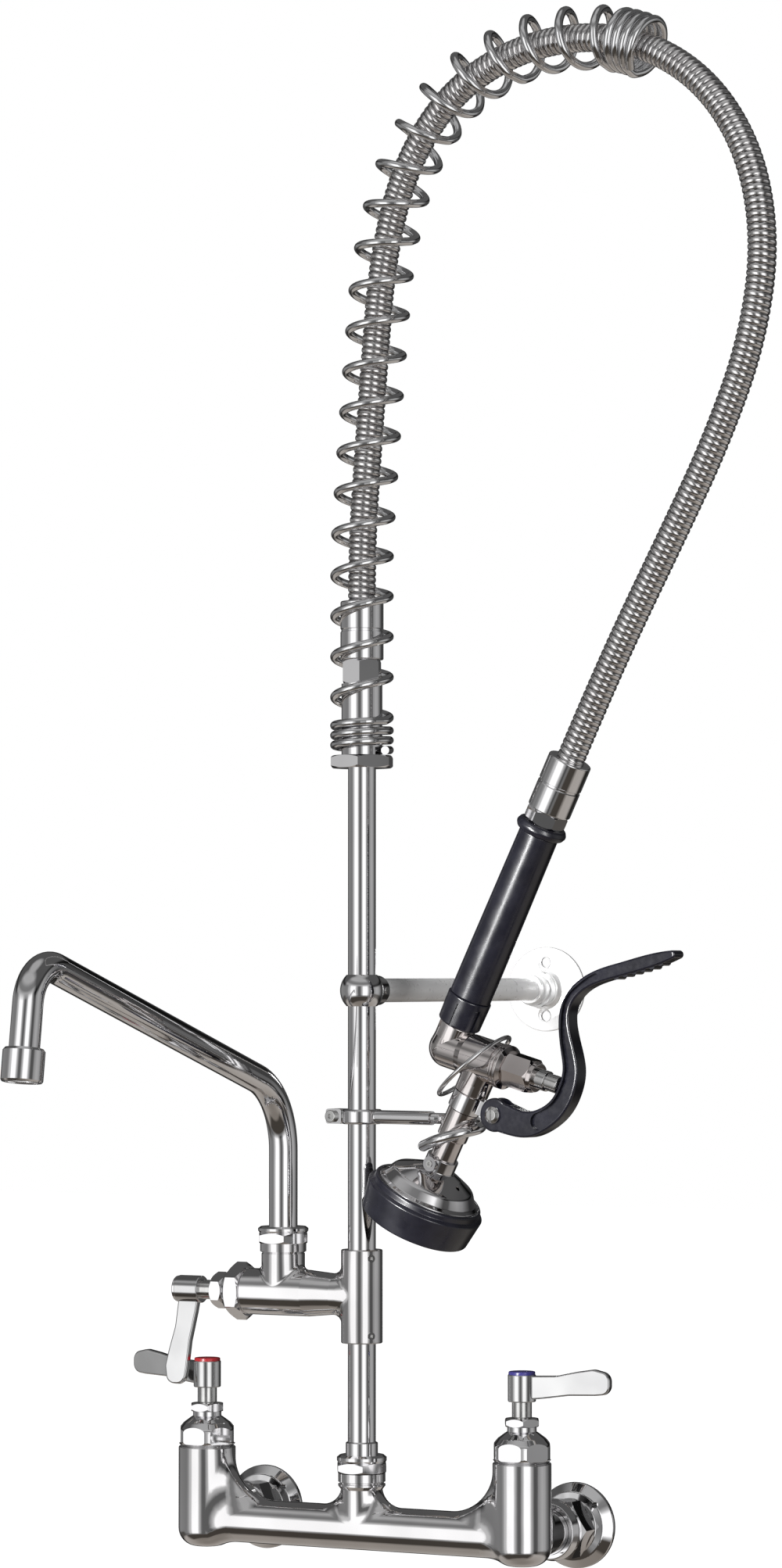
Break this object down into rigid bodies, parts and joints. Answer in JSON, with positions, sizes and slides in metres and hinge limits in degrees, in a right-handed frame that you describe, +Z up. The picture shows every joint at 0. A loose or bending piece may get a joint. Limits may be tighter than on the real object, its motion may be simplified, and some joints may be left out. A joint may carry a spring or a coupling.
{
  "type": "pre rinse faucet",
  "caption": "Wall-mounted pre-rinse faucet with overhead spring and hose, squeeze spray valve, swing spout, finger hook and wall bracket.",
  "frame": {"origin": "on the wall plane, midway between the two inlets, at the height of the inlets' axis", "axes": "+X to the right facing the wall, +Y into the wall, +Z up the riser"},
  "size_m": [0.4324, 0.5307, 0.8775],
  "materials": {
    "polished_chrome": "polished",
    "stainless_fittings": "bright stainless",
    "stem_brass": "plated brass",
    "spring_steel": "bright plated wire",
    "hose_steel": "stripwound stainless",
    "satin_black_grip": "satin",
    "gloss_black_lever": "gloss",
    "black_rubber": "moulded",
    "seal_rubber": "matte",
    "cartridge_plastic": "moulded",
    "aerator_plastic": "moulded",
    "hot_red": "gloss",
    "cold_blue": "gloss",
    "index_chrome": "polished"
  },
  "bodies": {
    "faucet_base": {"mixing_body": "polished_chrome", "wall_flanges": "polished_chrome", "inlet_coupling_nuts": "polished_chrome", "union_washers": "seal_rubber", "valve_cartridges": "cartridge_plastic", "valve_bonnets": "polished_chrome", "packing_nuts": "polished_chrome", "centre_swivel_nut": "polished_chrome", "lower_nipple": "polished_chrome", "addon_body": "polished_chrome", "grub_screws": "stainless_fittings", "riser_tube": "polished_chrome", "spout_nut": "polished_chrome", "bracket_ring": "polished_chrome", "bracket_arm": "polished_chrome"},
    "hot_handle": {"hot_stem": "stem_brass", "hot_handle": "polished_chrome", "hot_handle_screw": "stainless_fittings", "hot_index_button": "hot_red"},
    "cold_handle": {"cold_stem": "stem_brass", "cold_handle": "polished_chrome", "cold_handle_screw": "stainless_fittings", "cold_index_button": "cold_blue"},
    "addon_handle": {"addon_stem": "stem_brass", "addon_handle": "polished_chrome", "addon_handle_screw": "stainless_fittings", "addon_index_button": "index_chrome"},
    "swing_spout": {"spout_tube": "polished_chrome", "spout_o_rings": "seal_rubber", "aerator_shell": "polished_chrome", "aerator_insert": "aerator_plastic"},
    "wall_bracket_flange": {"bracket_flange": "polished_chrome", "bracket_flange_grub_screw": "stainless_fittings"},
    "finger_hook": {"finger_hook": "polished_chrome", "finger_hook_screw": "stainless_fittings"},
    "overhead": {"spring_base_nut": "polished_chrome", "riser_swivel_sleeve": "polished_chrome", "hose_hex_adapter": "polished_chrome", "upper_ferrule": "polished_chrome", "overhead_spring": "spring_steel", "spray_hose": "hose_steel", "lower_ferrule": "polished_chrome", "hose_swivel_nut": "polished_chrome", "grip_o_ring": "black_rubber", "spray_grip": "satin_black_grip", "grip_collar": "satin_black_grip", "handle_pipe": "stem_brass", "spray_valve_body": "polished_chrome", "spray_valve_bonnet": "polished_chrome", "plunger_return_spring": "stainless_fittings", "spray_neck": "polished_chrome", "spray_dome": "polished_chrome", "spray_bumper": "black_rubber", "spray_face_plate": "stainless_fittings", "spray_valve_screws": "stainless_fittings", "lever_bracket": "polished_chrome"},
    "squeeze_lever": {"squeeze_lever": "gloss_black_lever"},
    "spray_plunger": {"spray_plunger": "stainless_fittings", "plunger_washer": "seal_rubber"},
    "hold_down_ring": {"hold_down_ring": "polished_chrome"}
  },
  "joints": [
    {"name": "hot_handle_turn", "type": "hinge", "parent": "faucet_base", "child": "hot_handle", "pos_m": [-0.1016, -0.07, 0.0756], "axis": [0, 0, 1], "range_deg": [-90, 0]},
    {"name": "cold_handle_turn", "type": "hinge", "parent": "faucet_base", "child": "cold_handle", "pos_m": [0.1016, -0.07, 0.0756], "axis": [0, 0, 1], "range_deg": [0, 90]},
    {"name": "addon_handle_turn", "type": "hinge", "parent": "faucet_base", "child": "addon_handle", "pos_m": [-0.1048, -0.07, 0.1318], "axis": [1, 0, 0], "range_deg": [-90, 0]},
    {"name": "spout_swing", "type": "hinge", "parent": "faucet_base", "child": "swing_spout", "pos_m": [-0.0513, -0.07, 0.16], "axis": [0, 0, 1], "range_deg": [-90, 10]},
    {"name": "bracket_flange_slide", "type": "slide", "parent": "faucet_base", "child": "wall_bracket_flange", "axis": [0, 1, 0], "range_m": [-0.17, 0]},
    {"name": "overhead_swing", "type": "hinge", "parent": "faucet_base", "child": "overhead", "pos_m": [0, -0.07, 0.45], "axis": [0, 0, 1], "range_deg": [-50, 20]},
    {"name": "finger_hook_swivel", "type": "hinge", "parent": "faucet_base", "child": "finger_hook", "pos_m": [0, -0.07, 0.2332], "axis": [0, 0, 1], "range_deg": [-50, 20]},
    {"name": "lever_squeeze", "type": "hinge", "parent": "overhead", "child": "squeeze_lever", "pos_m": [0.09462, -0.08499, 0.2359], "axis": [-0.1564, -0.9877, 0], "range_deg": [0, 8.5], "stiffness_Nm_per_rad": 1, "springref_deg": -4.58},
    {"name": "plunger_slide", "type": "slide", "parent": "overhead", "child": "spray_plunger", "axis": [-0.9545, 0.1512, 0.2571], "range_m": [0, 0.0062]},
    {"name": "hold_ring_swing", "type": "hinge", "parent": "overhead", "child": "hold_down_ring", "pos_m": [0.09946, -0.08575, 0.2769], "axis": [-0.1564, -0.9877, 0], "range_deg": [-10, 0]}
  ],
  "couplings": [
    {"joint": "finger_hook_swivel", "follows": "overhead_swing", "ratio": 1},
    {"joint": "plunger_slide", "follows": "lever_squeeze", "m_per_rad": 0.038}
  ]
}
